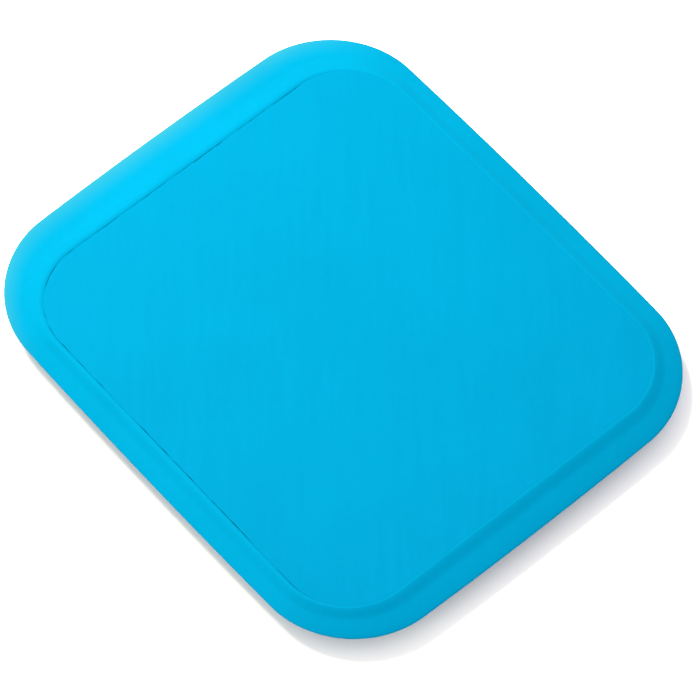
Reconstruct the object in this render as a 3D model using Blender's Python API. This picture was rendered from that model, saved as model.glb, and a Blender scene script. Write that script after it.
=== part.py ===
"""TENS electrode pad with a snap on its back, lying skin side up.

A soft moulded backing with a rolled rim holds a die-cut contact sheet in a shallow
recess. A thin conductive film lies under the sheet, on the head of an eyelet whose
barrel goes through the backing and is clenched inside a snap stud.

Units are metres. The origin is on the surface the pad lies on, under its middle.
+X runs along the long sides, +Z points away from the back, out of the contact sheet.
"""

from math import cos, pi, radians, sin, sqrt

import bmesh
import bpy
from mathutils import Vector

# Backing, seen from above
PAD_LENGTH = 0.0580
PAD_WIDTH = 0.0500
PAD_CORNER = 0.0100
PAD_BOW = 0.0005  # how far the middle of each side stands out past its ends

# Recess in the backing, measured at the crest of the rim
RECESS_LENGTH = 0.0491
RECESS_WIDTH = 0.0440
RECESS_CORNER = 0.0073
RECESS_SHIFT_X = 0.00104  # the recess sits a little off the middle of the backing
RECESS_SHIFT_Y = -0.00018
RECESS_DRAFT = 0.0001  # how far the wall leans in from crest to floor
CREST_RADIUS = 0.00015

# Backing, seen from the side
FLOOR_THICKNESS = 0.0008
UNDER_ROLL = 0.0005  # height of the round under the widest line of the rim
RIM_SLOPE = 0.60  # share of the rim's height that falls evenly from crest to widest line
RIM_SHOULDER = 0.25  # share that falls close to the crest; the rest rolls over outside
SHOULDER_REACH = 0.65  # how far out the shoulder reaches, as a share of the rim's width

# Layers in the recess, from the floor up
GLUE_LINE = 0.0001
FILM_THICKNESS = 0.00012
FILM_INSET = 0.0025  # the film stops this far inside the contact sheet
SHEET_THICKNESS = 0.0007
SHEET_EDGE_RADIUS = 0.0001
SHEET_GAP = 0.0003  # clearance round the contact sheet
SHEET_DEPTH = 0.00005  # how far the sheet's face lies under the crest

# Snap stud on the back
STUD_FLANGE_RADIUS = 0.0045
STUD_FLANGE = 0.00035
STUD_NECK_RADIUS = 0.0016
STUD_NECK = 0.00055
STUD_HEAD = 0.0013
STUD_BULGE = 0.00042  # how far the middle of the head stands out
STUD_TIP_RADIUS = 0.00145
STUD_WALL = 0.0003

# Eyelet through the backing
EYELET_FLANGE_RADIUS = 0.0040
EYELET_FLANGE = 0.0003
EYELET_WALL = 0.00025
EYELET_CLENCH = 0.0003  # height of the end of the barrel that is spread in the stud
SNAP_CLEARANCE = 0.00015  # between the barrel and what it goes through

# Fineness of the meshes
CORNER_STEPS = 10
SIDE_STEPS = 5
RIM_STEPS = 12
ROUND_STEPS = 4
HEAD_STEPS = 10
TURN_STEPS = 48
MERGE_DISTANCE = 1e-7

# Heights that follow from the sizes above
TIP_Z = 0.0
HEAD_TOP_Z = TIP_Z + STUD_HEAD
NECK_TOP_Z = HEAD_TOP_Z + STUD_NECK
STUD_TOP_Z = NECK_TOP_Z + STUD_FLANGE
BACK_Z = STUD_TOP_Z + GLUE_LINE
FLOOR_Z = BACK_Z + FLOOR_THICKNESS
FILM_Z = FLOOR_Z + GLUE_LINE
SHEET_Z = FILM_Z + FILM_THICKNESS + GLUE_LINE
FACE_Z = SHEET_Z + SHEET_THICKNESS
CREST_Z = FACE_Z + SHEET_DEPTH
WIDEST_Z = BACK_Z + UNDER_ROLL

# Radii that follow
THROAT_RADIUS = STUD_NECK_RADIUS - STUD_WALL
BARREL_RADIUS = THROAT_RADIUS - SNAP_CLEARANCE
BORE_RADIUS = BARREL_RADIUS - EYELET_WALL

RECESS_SHIFT = Vector((RECESS_SHIFT_X, RECESS_SHIFT_Y, 0))


def clear_scene():
    for thing in list(bpy.data.objects):
        bpy.data.objects.remove(thing, do_unlink=True)


def material(name, colour, roughness, metallic=0.0):
    made = bpy.data.materials.new(name)
    made.use_nodes = True
    made.diffuse_color = (*colour, 1)
    shader = made.node_tree.nodes["Principled BSDF"]
    shader.inputs["Base Color"].default_value = (*colour, 1)
    shader.inputs["Roughness"].default_value = roughness
    shader.inputs["Metallic"].default_value = metallic
    return made


def add_object(name, mesh_builder, surface):
    """Makes the named object from a bmesh, shaded smooth with its real edges kept sharp."""
    bmesh.ops.recalc_face_normals(mesh_builder, faces=mesh_builder.faces)
    mesh = bpy.data.meshes.new(name)
    mesh_builder.to_mesh(mesh)
    mesh_builder.free()
    mesh.materials.append(surface)
    mesh.shade_smooth()
    mesh.set_sharp_from_angle(angle=radians(35))
    thing = bpy.data.objects.new(name, mesh)
    bpy.context.scene.collection.objects.link(thing)
    return thing


def rounded_outline(length, width, corner, bow=0.0, shift=Vector((0, 0, 0))):
    """Points round a rectangle with round corners and slightly bowed sides."""
    points = []
    half_x = length / 2 - bow
    half_y = width / 2 - bow
    for quarter, (side_x, side_y) in enumerate(((1, 1), (-1, 1), (-1, -1), (1, -1))):
        middle = Vector((side_x * (half_x - corner), side_y * (half_y - corner), 0))
        arc = []
        for step in range(CORNER_STEPS + 1):
            turn = (quarter + step / CORNER_STEPS) * pi / 2
            arc.append(middle + corner * Vector((cos(turn), sin(turn), 0)))
        if points:
            points += side_points(points[-1], arc[0])
        points += arc
    points += side_points(points[-1], points[0])
    for point in points:
        across = point.x / half_x
        along = point.y / half_y
        point.x += bow * across * (1 - along**2)
        point.y += bow * along * (1 - across**2)
    return [point + shift for point in points]


def side_points(start, end):
    return [start.lerp(end, step / (SIDE_STEPS + 1)) for step in range(1, SIDE_STEPS + 1)]


def recess_outline(inset):
    """The recess's outline, drawn in by an inset that its corners follow."""
    return rounded_outline(
        RECESS_LENGTH - 2 * inset,
        RECESS_WIDTH - 2 * inset,
        RECESS_CORNER - inset,
        shift=RECESS_SHIFT,
    )


def at_height(points, height):
    return [Vector((point.x, point.y, height)) for point in points]


def loft(rings):
    """A closed body skinned over rings of equally many points, with flat ends."""
    mesh_builder = bmesh.new()
    loops = [[mesh_builder.verts.new(point) for point in ring] for ring in rings]
    for lower, upper in zip(loops, loops[1:]):
        for index, corner in enumerate(lower):
            following = (index + 1) % len(lower)
            mesh_builder.faces.new((corner, lower[following], upper[following], upper[index]))
    mesh_builder.faces.new(reversed(loops[0]))
    mesh_builder.faces.new(loops[-1])
    return mesh_builder


def turned(profile, closed):
    """A body turned about the Z axis from (radius, height) points."""
    mesh_builder = bmesh.new()
    verts = [mesh_builder.verts.new((radius, 0, height)) for radius, height in profile]
    edges = [mesh_builder.edges.new(pair) for pair in zip(verts, verts[1:])]
    if closed:
        edges.append(mesh_builder.edges.new((verts[-1], verts[0])))
    bmesh.ops.spin(
        mesh_builder,
        geom=verts + edges,
        axis=(0, 0, 1),
        cent=(0, 0, 0),
        angle=2 * pi,
        steps=TURN_STEPS,
        use_merge=True,
    )
    bmesh.ops.remove_doubles(mesh_builder, verts=mesh_builder.verts, dist=MERGE_DISTANCE)
    return mesh_builder


def drill(thing, name, radius, bottom, top):
    """Cuts a round hole about the Z axis out of an object."""
    mesh_builder = bmesh.new()
    bmesh.ops.create_cone(
        mesh_builder,
        cap_ends=True,
        segments=TURN_STEPS,
        radius1=radius,
        radius2=radius,
        depth=top - bottom,
    )
    mesh = bpy.data.meshes.new(name)
    mesh_builder.to_mesh(mesh)
    mesh_builder.free()
    cutter = bpy.data.objects.new(name, mesh)
    cutter.location.z = (top + bottom) / 2
    cutter.hide_render = True
    cutter.display_type = "WIRE"
    bpy.context.scene.collection.objects.link(cutter)
    cut = thing.modifiers.new(name, "BOOLEAN")
    cut.operation = "DIFFERENCE"
    cut.object = cutter


def rim_drop(share):
    """How far the rim has fallen from the crest, at a share of the way out, from 0 to 1."""
    near = min(1, share / SHOULDER_REACH)
    shoulder = near**2 * (3 - 2 * near)
    rolled = 1 - sqrt(1 - share**2)
    return (
        RIM_SLOPE * share
        + RIM_SHOULDER * shoulder
        + (1 - RIM_SLOPE - RIM_SHOULDER) * rolled
    )


def backing(surface):
    """The moulded tray: a rolled rim round a recess, with a hole for the snap."""
    outer = rounded_outline(PAD_LENGTH, PAD_WIDTH, PAD_CORNER, PAD_BOW)
    rings = []

    # Under side, from the flat back out to the widest line
    for step in range(ROUND_STEPS + 1):
        turn = step / ROUND_STEPS * pi / 2
        inset = UNDER_ROLL * (1 - sin(turn))
        under = rounded_outline(
            PAD_LENGTH - 2 * inset, PAD_WIDTH - 2 * inset, PAD_CORNER - inset, PAD_BOW
        )
        rings.append(at_height(under, WIDEST_Z - UNDER_ROLL * cos(turn)))

    # Rim, from the widest line up and in to the crest
    crest = recess_outline(-CREST_RADIUS)
    for step in range(1, RIM_STEPS + 1):
        share = cos(step / RIM_STEPS * pi / 2)
        ring = [inner.lerp(edge, share) for inner, edge in zip(crest, outer)]
        rings.append(at_height(ring, CREST_Z - (CREST_Z - WIDEST_Z) * rim_drop(share)))

    # Crest rounded over into the wall of the recess
    for step in range(1, ROUND_STEPS + 1):
        turn = step / ROUND_STEPS * pi / 2
        inset = -CREST_RADIUS * (1 - sin(turn))
        rings.append(at_height(recess_outline(inset), CREST_Z - CREST_RADIUS * (1 - cos(turn))))
    rings.append(at_height(recess_outline(RECESS_DRAFT), FLOOR_Z))

    tray = add_object("backing", loft(rings), surface)
    drill(
        tray,
        "cutter_barrel_hole",
        BARREL_RADIUS + SNAP_CLEARANCE,
        BACK_Z - FLOOR_THICKNESS,
        CREST_Z,
    )
    drill(
        tray,
        "cutter_flange_seat",
        EYELET_FLANGE_RADIUS + SNAP_CLEARANCE,
        FLOOR_Z - EYELET_FLANGE - GLUE_LINE,
        CREST_Z,
    )
    return tray


def contact_sheet(surface):
    """The sheet that lies on the skin, with a softly rounded upper edge."""
    inset = RECESS_DRAFT + SHEET_GAP
    rings = [at_height(recess_outline(inset), SHEET_Z)]
    for step in range(ROUND_STEPS + 1):
        turn = step / ROUND_STEPS * pi / 2
        drawn_in = inset + SHEET_EDGE_RADIUS * (1 - cos(turn))
        height = FACE_Z - SHEET_EDGE_RADIUS * (1 - sin(turn))
        rings.append(at_height(recess_outline(drawn_in), height))
    return add_object("contact_sheet", loft(rings), surface)


def conductive_film(surface):
    """The thin film that spreads the current from the eyelet over the sheet."""
    outline = recess_outline(RECESS_DRAFT + SHEET_GAP + FILM_INSET)
    rings = [at_height(outline, height) for height in (FILM_Z, FILM_Z + FILM_THICKNESS)]
    return add_object("conductive_film", loft(rings), surface)


def head_radius(height):
    """Radius of the stud's barrel-shaped head at a height over its tip."""
    share = height / STUD_HEAD
    straight = STUD_TIP_RADIUS + (STUD_NECK_RADIUS - STUD_TIP_RADIUS) * share
    return straight + STUD_BULGE * sin(pi * share)


def snap_eyelet(surface):
    """The hollow rivet whose head lies flush in the floor of the recess."""
    under = FLOOR_Z - EYELET_FLANGE
    end = STUD_WALL + SNAP_CLEARANCE
    spread = head_radius(end) - STUD_WALL - SNAP_CLEARANCE
    profile = [
        (BORE_RADIUS, FLOOR_Z),
        (BORE_RADIUS, TIP_Z + end + EYELET_CLENCH),
        (spread - EYELET_WALL, TIP_Z + end),
        (spread, TIP_Z + end),
        (BARREL_RADIUS, TIP_Z + end + EYELET_CLENCH),
        (BARREL_RADIUS, under),
        (EYELET_FLANGE_RADIUS - EYELET_FLANGE / 2, under),
        (EYELET_FLANGE_RADIUS, under + EYELET_FLANGE / 2),
        (EYELET_FLANGE_RADIUS, FLOOR_Z),
    ]
    return add_object("snap_eyelet", turned(profile, closed=True), surface)


def snap_stud(surface):
    """The stud that a lead's socket snaps over, hollow like the pressed real one."""
    head = [step / HEAD_STEPS * STUD_HEAD for step in range(HEAD_STEPS + 1)]
    profile = [(0, TIP_Z)]
    profile += [(head_radius(height), TIP_Z + height) for height in head]
    profile += [
        (STUD_NECK_RADIUS, NECK_TOP_Z),
        (STUD_FLANGE_RADIUS - STUD_FLANGE / 2, NECK_TOP_Z),
        (STUD_FLANGE_RADIUS, NECK_TOP_Z + STUD_FLANGE / 2),
        (STUD_FLANGE_RADIUS, STUD_TOP_Z),
        (THROAT_RADIUS, STUD_TOP_Z),
    ]
    hollow = [height for height in reversed(head) if height > STUD_WALL]
    profile += [(head_radius(height) - STUD_WALL, TIP_Z + height) for height in hollow]
    profile += [
        (head_radius(STUD_WALL) - STUD_WALL, TIP_Z + STUD_WALL),
        (0, TIP_Z + STUD_WALL),
    ]
    return add_object("snap_stud", turned(profile, closed=False), surface)


def build():
    clear_scene()
    backing(material("blue_foam", (0.003, 0.47, 0.80), 0.55))
    contact_sheet(material("blue_contact_sheet", (0.002, 0.44, 0.77), 0.5))
    conductive_film(material("carbon_film", (0.02, 0.02, 0.022), 0.6))
    plated = material("nickel_plate", (0.66, 0.64, 0.60), 0.28, metallic=1.0)
    snap_eyelet(plated)
    snap_stud(plated)


build()
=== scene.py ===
"""The looks of an electrode pad: foam backing, contact sheet, conductive film and snap.

Run as a script in Blender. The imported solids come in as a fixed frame, the soft pieces
and the snap are modelled over them, and every surface gets its own procedural finish.
"""

from math import cos, pi, radians, sin

import bpy
from mathutils import Matrix, Vector, noise


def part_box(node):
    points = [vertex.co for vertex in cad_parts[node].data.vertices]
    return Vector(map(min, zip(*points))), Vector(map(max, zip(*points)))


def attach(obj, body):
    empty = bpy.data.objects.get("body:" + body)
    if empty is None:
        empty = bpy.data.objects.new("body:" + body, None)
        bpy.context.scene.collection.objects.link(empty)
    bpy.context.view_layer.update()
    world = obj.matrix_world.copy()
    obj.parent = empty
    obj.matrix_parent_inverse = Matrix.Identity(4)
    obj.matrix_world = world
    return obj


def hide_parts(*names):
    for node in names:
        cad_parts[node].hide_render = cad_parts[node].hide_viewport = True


bl_info = {
    "name": "Electrode Pad",
    "version": (1, 0, 0),
    "blender": (4, 5, 0),
    "location": "3D View > Sidebar > Electrode Pad",
    "description": "Dresses the solids of an electrode pad with foam, gel and plated metal",
    "category": "Add Mesh",
}

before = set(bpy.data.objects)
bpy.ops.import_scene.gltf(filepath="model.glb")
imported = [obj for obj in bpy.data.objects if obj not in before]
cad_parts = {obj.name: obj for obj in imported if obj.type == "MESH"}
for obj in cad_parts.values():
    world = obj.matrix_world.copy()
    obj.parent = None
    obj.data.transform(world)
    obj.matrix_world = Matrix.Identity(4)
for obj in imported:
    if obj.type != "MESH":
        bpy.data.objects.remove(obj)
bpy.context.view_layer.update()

BACKING_LOW, BACKING_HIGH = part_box("backing")
SHEET_LOW, SHEET_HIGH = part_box("contact_sheet")
STUD_LOW, STUD_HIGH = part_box("snap_stud")
EYELET_LOW, EYELET_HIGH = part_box("snap_eyelet")
RECESS_MIDDLE = ((SHEET_LOW + SHEET_HIGH) / 2).xy.to_3d()
BODY = "root"

# Sizes that the solids were made with, which their boxes don't give
FLOOR_THICKNESS = 0.0008
CREST_RADIUS = 0.00015
RECESS_DRAFT = 0.0001
SHEET_GAP = 0.0003
SNAP_CLEARANCE = 0.00015
GLUE_LINE = 0.0001
STUD_NECK_RADIUS = 0.0016
STUD_NECK = 0.00055
STUD_HEAD = 0.0013
STUD_BULGE = 0.00042
STUD_TIP_RADIUS = 0.00145
STUD_WALL = 0.0003
EYELET_FLANGE = 0.0003
EYELET_WALL = 0.00025
EYELET_CLENCH = 0.0003
THROAT_RADIUS = STUD_NECK_RADIUS - STUD_WALL
BARREL_RADIUS = THROAT_RADIUS - SNAP_CLEARANCE

# The rim and the seam, as only the looks have them
SHOULDER_REACH = 0.42  # how far out the rim's shoulder reaches, as a share of the rim's width
CREST_SPREAD = 0.00032  # how much wider the crest's round is where the seam is open
CREST_DIP = 0.00004  # how much lower the crest is where the seam is closed
SEAM_HUG = 8  # power that keeps the open seam to its two sides
SEAM_END = 4  # power that closes it towards the far ends of those sides
NEAR_OPENING = 0.75  # how far the near side opens, as a share of the left side
SEAM_LAP = 0.00011  # how far the sheet laps over the crest's round where the seam is closed
SEAM_GAP = 0.00001  # between the sheet and the wall where the seam is open
WANDER_SCALES = (260, 1100)  # long and short waves of the cut, in noise cells to the metre
SHEET_PLAY = 0.00002  # between the foot of the sheet and the wall
LIP_INSET = 0.00004  # how far the sheet's wall leans in under the lip of its face
LIP_THICKNESS = 0.000035
LIP_ROUND = 0.00003

# The snap's edges, as only the looks have them
DIMPLE_DEPTH = 0.00012
DIMPLE_FLOOR = 0.0006  # radius of the floor of the dimple in the stud's tip
DIMPLE_RIM = 0.0010
DIMPLE_ROUND = 0.0002
TIP_SHARE = 0.08  # share of the head's height that its rounded tip takes
TIP_ROUND = 0.0001
STUD_ROUND = 0.00015
EYELET_ROUND = 0.0001
CLENCH_ROUND = 0.00005

# Soft unevenness, as the size of its waves and its seed
FOAM_WAVES = (0.004, 3.0)
GEL_WAVES = (0.006, 8.0)
WAVE_DETAIL = 1.5

# Fineness of the meshes
CORNER_STEPS = 28
SIDE_STEPS = 60
AROUND = 4 * (CORNER_STEPS + 1 + SIDE_STEPS)
BACK_RINGS = 8
ROLL_RINGS = 14
RIM_RINGS = 40
CREST_RINGS = 8
WALL_RINGS = 6
SEAT_RINGS = 6
SHEET_RINGS = 4
LIP_RINGS = 6
FACE_RINGS = 60
HEAD_RINGS = 22
ROUND_STEPS = 6
TURN_STEPS = 96
MERGE_DISTANCE = 1e-6
SHARP_EDGE = radians(38)

# Scales of the materials' noises, in cells to the metre
CLOUD_SCALE = 90.0
SPECK_SCALE = 1500.0
GRAIN_SCALE = 2600.0
STREAK_SCALE = 1300.0
CARBON_SCALE = 500.0
DULL_SCALE = 700.0
RING_SCALE = 9000.0

# Heights of what the materials' bumps show
FOAM_GRAIN = 0.000012
GEL_GRAIN = 0.000010
CARBON_GRAIN = 0.000010
RING_HEIGHT = 0.000004
RING_STRENGTH = 0.5

# Darkest and lightest tone of a finish, as shares of its colour
SOFT_TONES = (0.955, 1.045)
CARBON_TONES = (0.7, 1.6)
NICKEL_TONES = (0.9, 1.08)

# Least roughness of a finish, and what its clouds add
SOFT_ROUGHNESS = (0.5, 0.15)
CARBON_ROUGHNESS = (0.45, 0.3)
NICKEL_ROUGHNESS = (0.16, 0.22)

# Foam and gel
SOFT_IOR = 1.03  # next to no gloss
SPECK_SHARE = 0.25  # share of fine specks in the tone; the rest is clouds
TONE_ENDS = (0.3, 0.7)  # noise at the darkest and at the lightest tone
STREAK_TURN = radians(49.3)  # the sheet was cut at a slant across its roll
STREAK_STRETCH = Vector((1.0, 0.08, 1.0))
STREAK_SHARE = 0.3  # share of the streaks in the sheet's tone
STREAK_RELIEF = 0.6  # height of the streaks, as a share of the grain's

# Painted highlight on the foam: a pale whitish tint on the left rim and round the near left
# corner, standing in for the key light's sheen where the rim slopes away
PAINTED_HIGHLIGHT_SHARE = 0.30
PAINTED_HIGHLIGHT_HEIGHT = 0.00070  # over the rim's widest line
PAINTED_HIGHLIGHT_POWER = 1.7
PAINTED_HIGHLIGHT_ACROSS = (-0.016, -0.024)  # X where it begins and where it is full
PAINTED_HIGHLIGHT_ALONG = (0.025, 0.015)  # Y where it begins and where it is full

# Floor, light and camera
FLOOR_HALF = 1.5
FLOOR_COLOUR = (0.86, 0.86, 0.82)
FLOOR_ROUGHNESS = 0.9
SKY_COLOUR = (1.0, 0.96, 1.02)
LIGHT_COLOUR = (1.0, 0.985, 0.70)
KEY_PLACE = (-0.0814, 0.0842, 0.190)  # right, away and up, as the camera sees them
KEY_SIZE = 0.10
FILL_PLACE = (-0.148, -0.124, 0.052)
FILL_SIZE = 0.08
SENSOR_WIDTH = 36.0  # in millimetres, as the lens is
CLIP_START = 0.01


class Value:
    """A node's output that sums and products can be written with."""

    def __init__(self, maker, socket):
        self.maker = maker
        self.socket = socket

    @property
    def is_number(self):
        return self.socket.type in {"VALUE", "INT", "BOOLEAN"}

    def _calculate(self, operation, *values):
        vectors = any(
            isinstance(value, Vector) or isinstance(value, Value) and not value.is_number
            for value in values
        )
        kind = "ShaderNodeVectorMath" if vectors else "ShaderNodeMath"
        if vectors:
            values = [
                (value,) * 3 if isinstance(value, (int, float)) else value for value in values
            ]
        return self.maker.node(kind, {"operation": operation}, dict(enumerate(values)))

    def __add__(self, other):
        return self._calculate("ADD", self, other)

    def __sub__(self, other):
        return self._calculate("SUBTRACT", self, other)

    def __mul__(self, other):
        return self._calculate("MULTIPLY", self, other)

    def __truediv__(self, other):
        return self._calculate("DIVIDE", self, other)

    def __radd__(self, other):
        return self._calculate("ADD", other, self)

    def __rsub__(self, other):
        return self._calculate("SUBTRACT", other, self)

    def __rmul__(self, other):
        return self._calculate("MULTIPLY", other, self)

    def __rtruediv__(self, other):
        return self._calculate("DIVIDE", other, self)


class NodeMaker:
    """Adds nodes to one tree, each by its type, its settings and what its sockets hold."""

    def __init__(self, tree):
        self.tree = tree

    def node(self, kind, settings=None, sockets=None, output=0):
        """Gives the output that is asked for, or all of them where output is None."""
        made = self.tree.nodes.new(kind)
        for name, value in (settings or {}).items():
            setattr(made, name, value)
        for key, value in (sockets or {}).items():
            self.put(made.inputs[key], value)
        if output is None:
            return [Value(self, socket) for socket in made.outputs]
        return Value(self, made.outputs[output])

    def put(self, socket, value):
        if isinstance(value, Value):
            self.tree.links.new(value.socket, socket)
        else:
            socket.default_value = value

    def math(self, operation, *values):
        return self.node("ShaderNodeMath", {"operation": operation}, dict(enumerate(values)))

    def split(self, vector):
        return self.node("ShaderNodeSeparateXYZ", {}, {0: vector}, output=None)

    def ramp(self, value, low, high, shape="LINEAR"):
        """0 where the value is low, 1 where it is high, and no further past either."""
        settings = {"interpolation_type": shape}
        return self.node("ShaderNodeMapRange", settings, {0: value, 1: low, 2: high})

    def mix_colour(self, share, first, second):
        sockets = {0: share, 6: first, 7: second}
        return self.node("ShaderNodeMix", {"data_type": "RGBA"}, sockets, output=2)

    def mix_vector(self, share, first, second):
        sockets = {0: share, 4: first, 5: second}
        return self.node("ShaderNodeMix", {"data_type": "VECTOR"}, sockets, output=1)

    def noise(self, vector, scale, detail=2.0, roughness=0.5):
        sockets = {"Vector": vector, "Scale": scale, "Detail": detail, "Roughness": roughness}
        return self.node("ShaderNodeTexNoise", {}, sockets)


class PadSizes(bpy.types.PropertyGroup):
    length: bpy.props.FloatProperty(
        name="Length", description="Long side of the backing, at its middle", subtype="DISTANCE",
        unit="LENGTH", precision=5, default=BACKING_HIGH.x - BACKING_LOW.x,
    )
    width: bpy.props.FloatProperty(
        name="Width", description="Short side of the backing, at its middle", subtype="DISTANCE",
        unit="LENGTH", precision=5, default=BACKING_HIGH.y - BACKING_LOW.y,
    )
    corner: bpy.props.FloatProperty(
        name="Corner", description="Radius of the backing's corners", subtype="DISTANCE",
        unit="LENGTH", precision=5, default=0.0100,
    )
    bow: bpy.props.FloatProperty(
        name="Bow", description="How far the middle of each side stands out", subtype="DISTANCE",
        unit="LENGTH", precision=5, default=0.0005,
    )
    recess_corner: bpy.props.FloatProperty(
        name="Recess corner", description="Radius of the recess's corners at the crest",
        subtype="DISTANCE", unit="LENGTH", precision=5, default=0.0073,
    )
    under_roll: bpy.props.FloatProperty(
        name="Under roll", description="Height of the round under the rim's widest line",
        subtype="DISTANCE", unit="LENGTH", precision=5, default=0.0005,
    )
    rim_slope: bpy.props.FloatProperty(
        name="Rim slope", description="Share of the rim's height that falls evenly",
        subtype="FACTOR", min=0, max=1, default=0.70,
    )
    rim_shoulder: bpy.props.FloatProperty(
        name="Rim shoulder", description="Share of the rim's height that falls by the crest",
        subtype="FACTOR", min=0, max=1, default=0.15,
    )
    relief: bpy.props.FloatProperty(
        name="Relief", description="Height of the soft unevenness of foam and gel",
        subtype="DISTANCE", unit="LENGTH", precision=6, default=0.00003,
    )
    edge_wander: bpy.props.FloatProperty(
        name="Edge wander", description="How far the die-cut edge of the sheet wanders",
        subtype="DISTANCE", unit="LENGTH", precision=6, default=0.00008,
    )


class PadColours(bpy.types.PropertyGroup):
    foam: bpy.props.FloatVectorProperty(
        name="Foam", description="Colour of the moulded backing", subtype="COLOR", size=3,
        min=0, max=1, default=(0.0, 0.1315, 0.260),
    )
    # Pale whitish colour of the painted highlight that is mixed into the foam's left rim
    painted_highlight_colour: bpy.props.FloatVectorProperty(
        name="Painted highlight on foam", description="Colour of the highlight painted along the left edge of the backing",
        subtype="COLOR", size=3, min=0, max=1, default=(0.046, 0.165, 0.135),
    )
    sheet: bpy.props.FloatVectorProperty(
        name="Contact sheet", description="Colour of the sheet that lies on the skin",
        subtype="COLOR", size=3, min=0, max=1, default=(0.0, 0.1195, 0.244),
    )
    carbon: bpy.props.FloatVectorProperty(
        name="Carbon film", description="Colour of the conductive film", subtype="COLOR", size=3,
        min=0, max=1, default=(0.02, 0.02, 0.022),
    )
    nickel: bpy.props.FloatVectorProperty(
        name="Nickel", description="Colour of the plated snap", subtype="COLOR", size=3,
        min=0, max=1, default=(0.66, 0.64, 0.60),
    )


class StageSettings(bpy.types.PropertyGroup):
    turn: bpy.props.FloatProperty(
        name="Turn", description="How far round the pad the camera stands", subtype="ANGLE",
        unit="ROTATION", default=radians(49.3),
    )
    elevation: bpy.props.FloatProperty(
        name="Elevation", description="Height of the camera over the horizon", subtype="ANGLE",
        unit="ROTATION", default=radians(60.7),
    )
    distance: bpy.props.FloatProperty(
        name="Distance", description="From the camera to the pad", subtype="DISTANCE",
        unit="LENGTH", default=0.5126,
    )
    lens: bpy.props.FloatProperty(
        name="Lens", description="Focal length in millimetres", default=269.4,
    )
    aim_right: bpy.props.FloatProperty(
        name="Aim right", description="How far right of the pad's middle the camera aims",
        subtype="DISTANCE", unit="LENGTH", precision=5, default=0.00080,
    )
    aim_up: bpy.props.FloatProperty(
        name="Aim up", description="How far above the pad's middle the camera aims",
        subtype="DISTANCE", unit="LENGTH", precision=5, default=-0.00176,
    )
    key_watts: bpy.props.FloatProperty(
        name="Key light", description="Power of the soft light behind on the left",
        unit="POWER", default=1.5,
    )
    fill_watts: bpy.props.FloatProperty(
        name="Fill light", description="Power of the low light in front on the left",
        unit="POWER", default=0.09,
    )
    sky: bpy.props.FloatProperty(
        name="Sky", description="Strength of the even light from all round", default=1.35,
    )


class PadSettings(bpy.types.PropertyGroup):
    sizes: bpy.props.PointerProperty(type=PadSizes)
    colours: bpy.props.PointerProperty(type=PadColours)
    stage: bpy.props.PointerProperty(type=StageSettings)


# Outlines, seen from above


def rounded_outline(length, width, corner, bow=0.0, middle=Vector((0, 0, 0))):
    """Points round a rectangle with round corners and slightly bowed sides."""
    half_x = length / 2 - bow
    half_y = width / 2 - bow
    arcs = []
    for quarter, (side_x, side_y) in enumerate(((1, 1), (-1, 1), (-1, -1), (1, -1))):
        centre = Vector((side_x * (half_x - corner), side_y * (half_y - corner), 0))
        turns = [(quarter + step / CORNER_STEPS) * pi / 2 for step in range(CORNER_STEPS + 1)]
        arcs.append([centre + corner * Vector((cos(turn), sin(turn), 0)) for turn in turns])
    points = []
    for arc, following in zip(arcs, arcs[1:] + arcs[:1]):
        points += arc
        for step in range(1, SIDE_STEPS + 1):
            points.append(arc[-1].lerp(following[0], step / (SIDE_STEPS + 1)))
    for point in points:
        across = point.x / half_x
        along = point.y / half_y
        point.x += bow * across * (1 - along**2)
        point.y += bow * along * (1 - across**2)
    return [point + middle for point in points]


def recess_outline(sizes, inset):
    """The recess at the crest, drawn in by an inset that its corners follow."""
    reach = 2 * (RECESS_DRAFT + SHEET_GAP - inset)
    return rounded_outline(
        SHEET_HIGH.x - SHEET_LOW.x + reach,
        SHEET_HIGH.y - SHEET_LOW.y + reach,
        sizes.recess_corner - inset,
        middle=RECESS_MIDDLE,
    )


def circle_like(outline, radius):
    """A circle round the middle with one point for each point of an outline."""
    return [point.normalized() * radius for point in outline]


def moved_in(outline, amounts):
    """An outline with each point moved inwards, square to the outline, by its own amount."""
    moved = []
    for index, (point, amount) in enumerate(zip(outline, amounts)):
        along = outline[(index + 1) % len(outline)] - outline[index - 1]
        inwards = Vector((-along.y, along.x, 0)).normalized()
        moved.append(point + inwards * amount)
    return moved


def open_share(point):
    """1 along the two sides where the sheet lies clear of the wall, fading out at their ends."""
    half = (SHEET_HIGH - SHEET_LOW) / 2
    across = (point.x - RECESS_MIDDLE.x) / half.x
    along = (point.y - RECESS_MIDDLE.y) / half.y
    left = max(0.0, -across) ** SEAM_HUG * (1 - min(1.0, max(0.0, along)) ** SEAM_END)
    near = max(0.0, -along) ** SEAM_HUG * (1 - min(1.0, max(0.0, across)) ** SEAM_END)
    return min(1.0, left + NEAR_OPENING * near)


def crest_line(sizes):
    """The top of the rim, farther out where the seam is open and lower where it is closed."""
    line = recess_outline(sizes, -CREST_RADIUS)
    shares = [open_share(point) for point in line]
    line = moved_in(line, [-CREST_SPREAD * share for share in shares])
    return [point - Vector((0, 0, CREST_DIP * (1 - share))) for point, share in zip(line, shares)]


def seam_gap(point, sizes):
    """How far the sheet's face stops short of the wall, or laps over its round where negative."""
    wander = sum(noise.noise(point * scale) for scale in WANDER_SCALES)
    opening = SEAM_LAP + SEAM_GAP + sizes.edge_wander * wander
    return max(-SEAM_LAP, open_share(point) * opening - SEAM_LAP)


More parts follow.
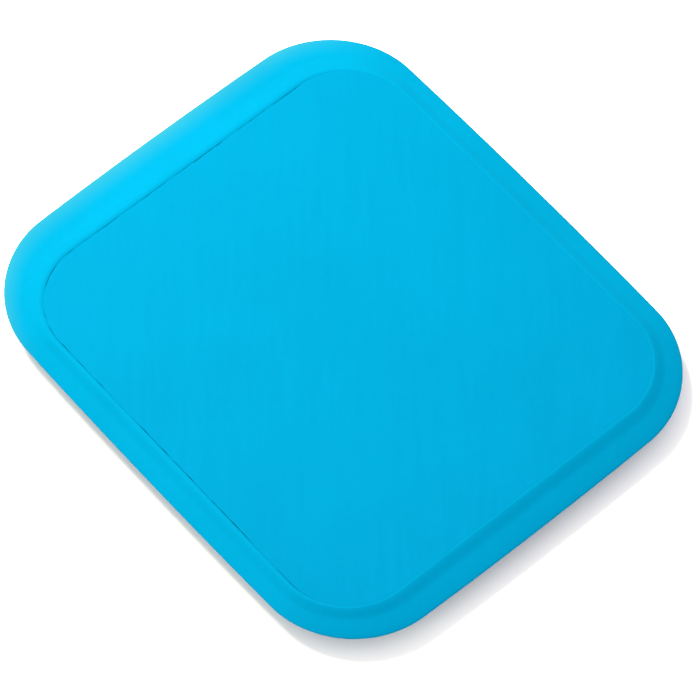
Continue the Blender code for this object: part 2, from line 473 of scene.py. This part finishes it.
def backing_outlines(sizes):
    """The hole's rim, the back, the widest line, the crest, the recess, the seat and the hole."""
    roll = sizes.under_roll
    outer = rounded_outline(sizes.length, sizes.width, sizes.corner, sizes.bow)
    back = rounded_outline(
        sizes.length - 2 * roll, sizes.width - 2 * roll, sizes.corner - roll, sizes.bow
    )
    wall = recess_outline(sizes, 0)
    floor = recess_outline(sizes, RECESS_DRAFT)
    hole = circle_like(outer, BARREL_RADIUS + SNAP_CLEARANCE)
    seat = circle_like(outer, EYELET_HIGH.x + SNAP_CLEARANCE)
    return [hole, back, outer, crest_line(sizes), wall, floor, seat, seat, hole, hole]


def sheet_outlines(sizes):
    """The middle of the underside, the foot, the wall, the lip, the face's edge and its middle."""
    foot = recess_outline(sizes, RECESS_DRAFT + SHEET_PLAY)
    wall = recess_outline(sizes, LIP_INSET)
    crest = recess_outline(sizes, 0)
    lip = moved_in(crest, [seam_gap(point, sizes) for point in crest])
    face = moved_in(lip, [LIP_ROUND] * len(lip))
    middle = [RECESS_MIDDLE] * len(lip)
    return [middle, foot, wall, lip, face, middle]


# Stations and profiles: a station is a place in the row of outlines, such as 1.5 for midway
# between the second and the third, and a height


def round_steps(count):
    """Quarter turns from 0 to 90 degrees in equal steps."""
    return [step / count * pi / 2 for step in range(count + 1)]


def even_rings(outline, count, low, high):
    """Even stations from just past an outline to the next one, from one height to another."""
    steps = range(1, count + 1)
    return [(outline + step / count, low + (high - low) * step / count) for step in steps]


def rim_drop(sizes, share):
    """How much of its height the rim has lost at a share of the way out from its crest."""
    near = min(1, share / SHOULDER_REACH)
    even = sizes.rim_slope * share
    shoulder = sizes.rim_shoulder * near**2 * (3 - 2 * near)
    rolled = 1 - sizes.rim_slope - sizes.rim_shoulder
    return even + shoulder + rolled * (1 - (1 - share**2) ** 0.5)


def backing_stations(sizes):
    """From the hole over the back, round the rim, down into the recess and through the seat."""
    back_z, crest_z = BACKING_LOW.z, BACKING_HIGH.z
    roll = sizes.under_roll
    widest_z = back_z + roll
    floor_z = back_z + FLOOR_THICKNESS
    seat_z = floor_z - EYELET_FLANGE - GLUE_LINE
    stations = [(step / BACK_RINGS, back_z) for step in range(BACK_RINGS)]
    for turn in round_steps(ROLL_RINGS):
        stations.append((1 + sin(turn), widest_z - roll * cos(turn)))
    for turn in round_steps(RIM_RINGS)[1:]:
        drop = rim_drop(sizes, cos(turn))
        stations.append((3 - cos(turn), crest_z - (crest_z - widest_z) * drop))
    for turn in round_steps(CREST_RINGS)[1:]:
        stations.append((3 + sin(turn), crest_z - CREST_RADIUS * (1 - cos(turn))))
    stations += even_rings(4, WALL_RINGS, crest_z - CREST_RADIUS, floor_z)
    stations += even_rings(5, SEAT_RINGS, floor_z, floor_z)
    return stations + [(7, seat_z), (8, seat_z), (9, back_z)]


def sheet_stations():
    """From the middle of the underside out, up the wall, round the lip and in over the face."""
    low, high = SHEET_LOW.z, SHEET_HIGH.z
    lip_z = high - LIP_THICKNESS
    stations = [(0, low)]
    stations += even_rings(0, SHEET_RINGS, low, low)
    stations += even_rings(1, SHEET_RINGS, low, lip_z)
    stations += even_rings(2, SHEET_RINGS, lip_z, lip_z)
    for turn in round_steps(LIP_RINGS):
        stations.append((4 - cos(turn), high - LIP_ROUND * (1 - sin(turn))))
    return stations + even_rings(4, FACE_RINGS, high, high)


def softened(corners):
    """A profile of radius, height and rounding, with each corner rounded by its own amount."""
    points = []
    for index, (radius, height, rounding) in enumerate(corners):
        corner = Vector((radius, height))
        if rounding == 0:
            points.append(corner)
            continue
        before = Vector(corners[index - 1][:2])
        after = Vector(corners[(index + 1) % len(corners)][:2])
        start = corner + (before - corner).normalized() * rounding
        end = corner + (after - corner).normalized() * rounding
        for step in range(ROUND_STEPS + 1):
            share = step / ROUND_STEPS
            points.append(start.lerp(corner, share).lerp(corner.lerp(end, share), share))
    return points


def head_radius(height):
    """Radius of the stud's barrel-shaped head at a height over its tip."""
    share = height / STUD_HEAD
    straight = STUD_TIP_RADIUS + (STUD_NECK_RADIUS - STUD_TIP_RADIUS) * share
    return straight + STUD_BULGE * sin(pi * share)


def stud_profile():
    """From the dimple over the head, neck and flange, and back down inside the hollow head."""
    tip, top = STUD_LOW.z, STUD_HIGH.z
    dimple = tip + DIMPLE_DEPTH
    neck_top = tip + STUD_HEAD + STUD_NECK
    inner_tip = tip + STUD_WALL
    shares = [TIP_SHARE + (1 - TIP_SHARE) * step / HEAD_RINGS for step in range(HEAD_RINGS + 1)]
    heights = [STUD_HEAD * share for share in shares]
    corners = [(0, dimple, 0), (DIMPLE_FLOOR, dimple, DIMPLE_ROUND)]
    corners += [(DIMPLE_RIM, tip, DIMPLE_ROUND), (STUD_TIP_RADIUS, tip, TIP_ROUND)]
    corners += [(head_radius(height), tip + height, 0) for height in heights]
    corners += [(STUD_NECK_RADIUS, neck_top, STUD_ROUND), (STUD_HIGH.x, neck_top, STUD_ROUND)]
    corners += [(STUD_HIGH.x, top, STUD_ROUND), (THROAT_RADIUS, top, STUD_ROUND)]
    for height in reversed(heights):
        if height > STUD_WALL:
            corners.append((head_radius(height) - STUD_WALL, tip + height, 0))
    corners += [(head_radius(STUD_WALL) - STUD_WALL, inner_tip, 0), (0, inner_tip, 0)]
    return softened(corners)


def eyelet_profile():
    """Down the bore, round the clenched end, up outside the barrel and round the flange."""
    end, floor = EYELET_LOW.z, EYELET_HIGH.z
    clenched = end + EYELET_CLENCH
    spread = head_radius(end - STUD_LOW.z) - STUD_WALL - SNAP_CLEARANCE
    bore = BARREL_RADIUS - EYELET_WALL
    profile = softened([
        (bore, floor, EYELET_ROUND),
        (bore, clenched, EYELET_ROUND),
        (spread - EYELET_WALL, end, CLENCH_ROUND),
        (spread, end, CLENCH_ROUND),
        (BARREL_RADIUS, clenched, EYELET_ROUND),
        (BARREL_RADIUS, floor - EYELET_FLANGE, EYELET_ROUND),
        (EYELET_HIGH.x, floor - EYELET_FLANGE, EYELET_ROUND),
        (EYELET_HIGH.x, floor, EYELET_ROUND),
    ])
    return profile + profile[:1]


# Geometry node trees


def new_tree(name, inputs):
    tree = bpy.data.node_groups.new(name, "GeometryNodeTree")
    tree.interface.new_socket("Geometry", in_out="INPUT", socket_type="NodeSocketGeometry")
    for label, kind in inputs:
        tree.interface.new_socket(label, in_out="INPUT", socket_type=kind)
    tree.interface.new_socket("Geometry", in_out="OUTPUT", socket_type="NodeSocketGeometry")
    maker = NodeMaker(tree)
    outputs = maker.node("NodeGroupInput", output=None)
    given = {value.socket.name: value for value in outputs if value.socket.name}
    return tree, maker, given


def carried_points(maker, helper):
    return maker.node("GeometryNodeObjectInfo", {}, {"Object": helper}, "Geometry")


def sample_position(maker, source, index):
    place = maker.node("GeometryNodeInputPosition")
    return maker.node(
        "GeometryNodeSampleIndex",
        {"data_type": "FLOAT_VECTOR", "domain": "POINT"},
        {"Geometry": source, "Value": place, "Index": index},
    )


def grid_of(maker, columns, rows):
    """A grid with its points' column and row."""
    sockets = {"Vertices X": columns, "Vertices Y": rows}
    grid = maker.node("GeometryNodeMeshGrid", {}, sockets)
    index = maker.node("GeometryNodeInputIndex")
    column = maker.math("FLOOR", index / rows)
    return grid, column, index - column * rows


def placed_and_merged(maker, grid, position):
    """The grid with its points moved to their places and its seams and poles closed."""
    sockets = {"Geometry": grid, "Position": position}
    shape = maker.node("GeometryNodeSetPosition", {}, sockets)
    sockets = {"Geometry": shape, "Distance": MERGE_DISTANCE}
    return maker.node("GeometryNodeMergeByDistance", {}, sockets)


def sharpened(maker, shape):
    """The shape shaded smooth, except over its real edges."""
    shape = maker.node("GeometryNodeSetShadeSmooth", {"domain": "FACE"}, {"Geometry": shape})
    angle = maker.node("GeometryNodeInputMeshEdgeAngle")
    sockets = {0: angle, 1: SHARP_EDGE}
    edges = maker.node("FunctionNodeCompare", {"operation": "GREATER_THAN"}, sockets)
    sockets = {"Geometry": shape, "Selection": edges, "Shade Smooth": False}
    return maker.node("GeometryNodeSetShadeSmooth", {"domain": "EDGE"}, sockets)


def end_tree(maker, shape, material):
    """Every tree ends in real geometry with its material set."""
    shape = maker.node("GeometryNodeRealizeInstances", {}, {0: shape})
    shape = maker.node("GeometryNodeSetMaterial", {}, {"Geometry": shape, "Material": material})
    maker.node("NodeGroupOutput", {}, {0: shape}, output=None)


def loft_tree():
    """Skins a closed body over outlines, with a ring of faces from each station to the next."""
    tree, maker, given = new_tree(
        "Loft over outlines",
        [
            ("Outlines", "NodeSocketObject"),
            ("Stations", "NodeSocketObject"),
            ("Points around", "NodeSocketInt"),
            ("Station count", "NodeSocketInt"),
            ("Outline count", "NodeSocketInt"),
            ("Relief height", "NodeSocketFloat"),
            ("Relief size", "NodeSocketFloat"),
            ("Relief seed", "NodeSocketFloat"),
            ("Material", "NodeSocketMaterial"),
        ],
    )
    outlines = carried_points(maker, given["Outlines"])
    stations = carried_points(maker, given["Stations"])
    around = given["Points around"]
    grid, column, row = grid_of(maker, around + 1, given["Station count"])
    turn = maker.math("MODULO", column, around)
    place, _, height = maker.split(sample_position(maker, stations, row))
    lower = maker.math("MINIMUM", maker.math("FLOOR", place), given["Outline count"] - 2)
    first = sample_position(maker, outlines, lower * around + turn)
    second = sample_position(maker, outlines, (lower + 1) * around + turn)
    flat = maker.mix_vector(place - lower, first, second)
    lift = maker.node("ShaderNodeCombineXYZ", {}, {2: height})
    shape = placed_and_merged(maker, grid, flat + lift)
    here = maker.node("GeometryNodeInputPosition")
    bumps = maker.node(
        "ShaderNodeTexNoise",
        {"noise_dimensions": "4D"},
        {"Vector": here / given["Relief size"], "W": given["Relief seed"], "Scale": 1.0,
         "Detail": WAVE_DETAIL},
    )
    normal = maker.node("GeometryNodeInputNormal")
    offset = normal * ((bumps - 0.5) * given["Relief height"])
    shape = maker.node("GeometryNodeSetPosition", {}, {"Geometry": shape, "Offset": offset})
    end_tree(maker, sharpened(maker, shape), given["Material"])
    return tree


def turned_tree():
    """Turns a profile of points about the Z axis into a closed body."""
    tree, maker, given = new_tree(
        "Turned piece",
        [
            ("Profile", "NodeSocketObject"),
            ("Profile points", "NodeSocketInt"),
            ("Turn steps", "NodeSocketInt"),
            ("Material", "NodeSocketMaterial"),
        ],
    )
    profile = carried_points(maker, given["Profile"])
    grid, column, row = grid_of(maker, given["Turn steps"] + 1, given["Profile points"])
    point = sample_position(maker, profile, row)
    angle = column / given["Turn steps"] * (2 * pi)
    place = maker.node(
        "ShaderNodeVectorRotate", {"rotation_type": "Z_AXIS"}, {"Vector": point, "Angle": angle}
    )
    shape = placed_and_merged(maker, grid, place)
    end_tree(maker, sharpened(maker, shape), given["Material"])
    return tree


# Pieces


def points_object(name, points):
    """A helper that only carries points into a node tree."""
    mesh = bpy.data.meshes.new(name)
    mesh.from_pydata([tuple(point) for point in points], [], [])
    helper = bpy.data.objects.new(name, mesh)
    bpy.context.scene.collection.objects.link(helper)
    return helper


def point_outwards(mesh):
    """Turns every face over if the closed body came out inside out."""
    mesh.calc_loop_triangles()
    volume = 0.0
    for triangle in mesh.loop_triangles:
        a, b, c = (mesh.vertices[index].co for index in triangle.vertices)
        volume += a.dot(b.cross(c))
    if volume < 0:
        mesh.flip_normals()


def run_tree(name, tree, inputs, helpers):
    """The tree's result as a plain mesh object, with the helpers taken away again."""
    piece = bpy.data.objects.new(name, bpy.data.meshes.new(name))
    bpy.context.scene.collection.objects.link(piece)
    modifier = piece.modifiers.new(tree.name, "NODES")
    modifier.node_group = tree
    for item in tree.interface.items_tree:
        if item.in_out == "INPUT" and item.name in inputs:
            modifier[item.identifier] = inputs[item.name]
    depsgraph = bpy.context.evaluated_depsgraph_get()
    made = bpy.data.meshes.new_from_object(piece.evaluated_get(depsgraph), depsgraph=depsgraph)
    piece.modifiers.remove(modifier)
    piece.data = made
    made.name = name
    made.materials.clear()
    made.materials.append(inputs["Material"])
    for face in made.polygons:
        face.material_index = 0
    for helper in helpers:
        bpy.data.objects.remove(helper)
    point_outwards(made)
    return piece


def lofted_piece(name, outlines, stations, relief, waves, material):
    """A closed body over outlines, with a soft relief whose waves have a size and a seed."""
    helpers = [
        points_object("outlines", [point for outline in outlines for point in outline]),
        points_object("stations", [(place, 0, height) for place, height in stations]),
    ]
    inputs = {
        "Outlines": helpers[0],
        "Stations": helpers[1],
        "Points around": AROUND,
        "Station count": len(stations),
        "Outline count": len(outlines),
        "Relief height": relief,
        "Relief size": waves[0],
        "Relief seed": waves[1],
        "Material": material,
    }
    return run_tree(name, loft_tree(), inputs, helpers)


def turned_piece(name, profile, material):
    helper = points_object("profile", [(radius, 0, height) for radius, height in profile])
    inputs = {
        "Profile": helper,
        "Profile points": len(profile),
        "Turn steps": TURN_STEPS,
        "Material": material,
    }
    return run_tree(name, turned_tree(), inputs, [helper])


def place_piece(piece, slot, *nodes):
    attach(piece, BODY)
    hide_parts(*nodes)
    return piece


# Materials


def new_material(name, colour):
    made = bpy.data.materials.new(name)
    made.use_nodes = True
    made.diffuse_color = (*colour, 1)
    maker = NodeMaker(made.node_tree)
    shader = made.node_tree.nodes["Principled BSDF"]
    place = maker.node("ShaderNodeTexCoord", {}, {}, "Object")
    return made, maker, shader, place


def toned(maker, share, colour, tones):
    """The colour between its darkest tone and its lightest."""
    dark, light = (tuple(channel * tone for channel in colour) + (1,) for tone in tones)
    return maker.mix_colour(share, dark, light)


def put_finish(maker, shader, base, clouds, roughness, relief, height, strength=1.0):
    """Joins the colour, the cloudy roughness and the relief's bump to the shader."""
    least, added = roughness
    maker.put(shader.inputs["Base Color"], base)
    maker.put(shader.inputs["Roughness"], least + clouds * added)
    sockets = {"Strength": strength, "Distance": height, "Height": relief}
    maker.put(shader.inputs["Normal"], maker.node("ShaderNodeBump", {}, sockets))


def soft_noises(maker, place):
    """Faint clouds, the tone that they make with fine specks, and a fine grain."""
    clouds = maker.noise(place, CLOUD_SCALE, detail=3.0)
    specks = maker.noise(place, SPECK_SCALE)
    tone = clouds * (1 - SPECK_SHARE) + specks * SPECK_SHARE
    grain = maker.noise(place, GRAIN_SCALE, detail=3.0, roughness=0.6)
    return clouds, tone, grain


def painted_highlight_mask(maker, place, widest_z):
    """Mask of the painted highlight: 1 at the rim's widest line on the left, fading out upwards,
    underneath and to the right.
    """
    x, y, z = maker.split(place)
    highlight = maker.math("POWER", maker.ramp(z, widest_z + PAINTED_HIGHLIGHT_HEIGHT, widest_z), PAINTED_HIGHLIGHT_POWER)
    highlight = highlight * maker.ramp(z, BACKING_LOW.z, widest_z)
    highlight = highlight * maker.ramp(x, *PAINTED_HIGHLIGHT_ACROSS, "SMOOTHSTEP")
    return highlight * maker.ramp(y, *PAINTED_HIGHLIGHT_ALONG, "SMOOTHSTEP")


def foam_material(colour, painted_highlight_colour, widest_z):
    """Matte dyed foam with a fine grain and a painted highlight, a pale whitish tint along its
    left rim.
    """
    made, maker, shader, place = new_material("Dyed foam", colour)
    clouds, tone, grain = soft_noises(maker, place)
    base = toned(maker, maker.ramp(tone, *TONE_ENDS), colour, SOFT_TONES)
    # Painted highlight: the pale tint is mixed into the colour along the left rim, in cloudy
    # patches
    share = painted_highlight_mask(maker, place, widest_z) * (0.5 + clouds) * PAINTED_HIGHLIGHT_SHARE
    base = maker.mix_colour(share, base, (*painted_highlight_colour, 1))
    put_finish(maker, shader, base, clouds, SOFT_ROUGHNESS, grain, FOAM_GRAIN)
    shader.inputs["IOR"].default_value = SOFT_IOR
    return made


def gel_material(colour):
    """Matte dyed gel with a fine grain and fine streaks across the sheet."""
    made, maker, shader, place = new_material("Contact gel", colour)
    clouds, tone, grain = soft_noises(maker, place)
    turned = maker.node(
        "ShaderNodeVectorRotate", {"rotation_type": "Z_AXIS"},
        {"Vector": place, "Angle": -STREAK_TURN},
    )
    streaks = maker.noise(turned * STREAK_STRETCH, STREAK_SCALE)
    tone = tone * (1 - STREAK_SHARE) + streaks * STREAK_SHARE
    base = toned(maker, maker.ramp(tone, *TONE_ENDS), colour, SOFT_TONES)
    relief = grain + streaks * STREAK_RELIEF
    put_finish(maker, shader, base, clouds, SOFT_ROUGHNESS, relief, GEL_GRAIN)
    shader.inputs["IOR"].default_value = SOFT_IOR
    return made


def carbon_film_material(colour):
    """Matte printed carbon in uneven patches."""
    made, maker, shader, place = new_material("Carbon film", colour)
    clouds = maker.noise(place, CARBON_SCALE, detail=4.0)
    base = toned(maker, clouds, colour, CARBON_TONES)
    put_finish(maker, shader, base, clouds, CARBON_ROUGHNESS, clouds, CARBON_GRAIN)
    return made


def nickel_material(colour):
    """Plated pressed metal: faint rings left by drawing it, and slightly duller patches."""
    made, maker, shader, place = new_material("Nickel plate", colour)
    x, y, _ = maker.split(place)
    across = maker.node("ShaderNodeCombineXYZ", {}, {0: x, 1: y})
    radius = maker.node("ShaderNodeVectorMath", {"operation": "LENGTH"}, {0: across}, "Value")
    rings = maker.node(
        "ShaderNodeTexNoise", {"noise_dimensions": "1D"},
        {"W": radius, "Scale": RING_SCALE, "Detail": 2.0},
    )
    dull = maker.noise(place, DULL_SCALE, detail=4.0)
    base = toned(maker, dull, colour, NICKEL_TONES)
    put_finish(
        maker, shader, base, dull, NICKEL_ROUGHNESS, rings, RING_HEIGHT, strength=RING_STRENGTH
    )
    shader.inputs["Metallic"].default_value = 1.0
    return made


# Operators


class PAD_OT_backing(bpy.types.Operator):
    """Models the moulded foam backing: rolled rim, crest, recess and the seat of the eyelet"""

    bl_idname = "pad.make_backing"
    bl_label = "Make Foam Backing"

    def execute(self, context):
        settings = context.scene.electrode_pad
        sizes, colours = settings.sizes, settings.colours
        widest_z = BACKING_LOW.z + sizes.under_roll
        piece = lofted_piece(
            "foam_backing",
            backing_outlines(sizes),
            backing_stations(sizes),
            sizes.relief,
            FOAM_WAVES,
            foam_material(tuple(colours.foam), tuple(colours.painted_highlight_colour), widest_z),
        )
        place_piece(piece, "backing_foam", "backing")
        return {"FINISHED"}


class PAD_OT_contact_sheet(bpy.types.Operator):
    """Models the die-cut contact sheet, nearly closed to the recess but open along two sides"""

    bl_idname = "pad.make_contact_sheet"
    bl_label = "Make Contact Sheet"

    def execute(self, context):
        settings = context.scene.electrode_pad
        piece = lofted_piece(
            "gel_contact_sheet",
            sheet_outlines(settings.sizes),
            sheet_stations(),
            settings.sizes.relief,
            GEL_WAVES,
            gel_material(tuple(settings.colours.sheet)),
        )
        place_piece(piece, "contact_sheet", "contact_sheet")
        return {"FINISHED"}


class PAD_OT_film(bpy.types.Operator):
    """Gives the conductive film its matte carbon finish"""

    bl_idname = "pad.dress_film"
    bl_label = "Dress Conductive Film"

    def execute(self, context):
        colour = tuple(context.scene.electrode_pad.colours.carbon)
        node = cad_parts["conductive_film"]
        node.data.materials.clear()
        node.data.materials.append(carbon_film_material(colour))
        return {"FINISHED"}


class PAD_OT_snap(bpy.types.Operator):
    """Turns the stud and the eyelet with softened edges and plates them"""

    bl_idname = "pad.make_snap"
    bl_label = "Make Snap"

    def execute(self, context):
        plated = nickel_material(tuple(context.scene.electrode_pad.colours.nickel))
        pieces = (
            ("pressed_stud", "snap_stud", stud_profile()),
            ("hollow_eyelet", "snap_eyelet", eyelet_profile()),
        )
        for name, node, profile in pieces:
            place_piece(turned_piece(name, profile, plated), "nickel_plate", node)
        return {"FINISHED"}


class PAD_OT_stage(bpy.types.Operator):
    """Sets the pale floor, the soft lights and the camera"""

    bl_idname = "pad.make_stage"
    bl_label = "Make Stage"

    def execute(self, context):
        stage = context.scene.electrode_pad.stage
        self.floor(context)
        self.sky(context, stage)
        self.light(context, stage, "Key light", KEY_PLACE, KEY_SIZE, stage.key_watts)
        self.light(context, stage, "Fill light", FILL_PLACE, FILL_SIZE, stage.fill_watts)
        self.camera(context, stage)
        return {"FINISHED"}

    @staticmethod
    def floor(context):
        mesh = bpy.data.meshes.new("floor")
        sides = ((-1, -1), (1, -1), (1, 1), (-1, 1))
        corners = [(x * FLOOR_HALF, y * FLOOR_HALF, 0) for x, y in sides]
        mesh.from_pydata(corners, [], [(0, 1, 2, 3)])
        floor = bpy.data.objects.new("floor", mesh)
        context.scene.collection.objects.link(floor)
        made, _, shader, _ = new_material("Pale floor", FLOOR_COLOUR)
        shader.inputs["Base Color"].default_value = (*FLOOR_COLOUR, 1)
        shader.inputs["Roughness"].default_value = FLOOR_ROUGHNESS
        shader.inputs["Specular IOR Level"].default_value = 0.0
        mesh.materials.append(made)

    @staticmethod
    def sky(context, stage):
        world = bpy.data.worlds.new("Soft studio")
        world.use_nodes = True
        background = world.node_tree.nodes["Background"]
        background.inputs["Color"].default_value = (*SKY_COLOUR, 1)
        background.inputs["Strength"].default_value = stage.sky
        context.scene.world = world

    @staticmethod
    def light(context, stage, name, place, size, watts):
        data = bpy.data.lights.new(name, "AREA")
        data.shape = "DISK"
        data.size = size
        data.energy = watts
        data.color = LIGHT_COLOUR
        light = bpy.data.objects.new(name, data)
        light.location = Matrix.Rotation(stage.turn, 3, "Z") @ Vector(place)
        light.rotation_mode = "QUATERNION"
        light.rotation_quaternion = (-light.location).to_track_quat("-Z", "Y")
        context.scene.collection.objects.link(light)

    @staticmethod
    def camera(context, stage):
        turn, rise = stage.turn, stage.elevation
        back = Vector((sin(turn) * cos(rise), -cos(turn) * cos(rise), sin(rise)))
        right = Vector((cos(turn), sin(turn), 0))
        up = back.cross(right)
        aim = Vector((0, 0, BACKING_LOW.z)) + right * stage.aim_right + up * stage.aim_up
        data = bpy.data.cameras.new("Camera")
        data.lens = stage.lens
        data.sensor_width = SENSOR_WIDTH
        data.clip_start = CLIP_START
        camera = bpy.data.objects.new("Camera", data)
        camera.location = aim + back * stage.distance
        camera.rotation_mode = "QUATERNION"
        camera.rotation_quaternion = (-back).to_track_quat("-Z", "Y")
        context.scene.collection.objects.link(camera)
        context.scene.camera = camera
        context.scene.view_settings.view_transform = "Standard"


class PAD_PT_panel(bpy.types.Panel):
    """The pad's pieces, sizes and colours"""

    bl_idname = "PAD_PT_panel"
    bl_label = "Electrode Pad"
    bl_space_type = "VIEW_3D"
    bl_region_type = "UI"
    bl_category = "Electrode Pad"

    def draw(self, context):
        settings = context.scene.electrode_pad
        for group in (settings.sizes, settings.colours, settings.stage):
            box = self.layout.box()
            for name in group.bl_rna.properties.keys():
                if name not in {"rna_type", "name"}:
                    box.prop(group, name)
        for operator in OPERATORS:
            self.layout.operator(operator.bl_idname)


OPERATORS = (PAD_OT_backing, PAD_OT_contact_sheet, PAD_OT_film, PAD_OT_snap, PAD_OT_stage)
CLASSES = (PadSizes, PadColours, StageSettings, PadSettings, *OPERATORS, PAD_PT_panel)


def register():
    for each in CLASSES:
        bpy.utils.register_class(each)
    bpy.types.Scene.electrode_pad = bpy.props.PointerProperty(type=PadSettings)


def unregister():
    del bpy.types.Scene.electrode_pad
    for each in reversed(CLASSES):
        bpy.utils.unregister_class(each)


def main():
    register()
    bpy.ops.pad.make_backing()
    bpy.ops.pad.make_contact_sheet()
    bpy.ops.pad.dress_film()
    bpy.ops.pad.make_snap()
    bpy.ops.pad.make_stage()


if __name__ == "__main__":
    main()
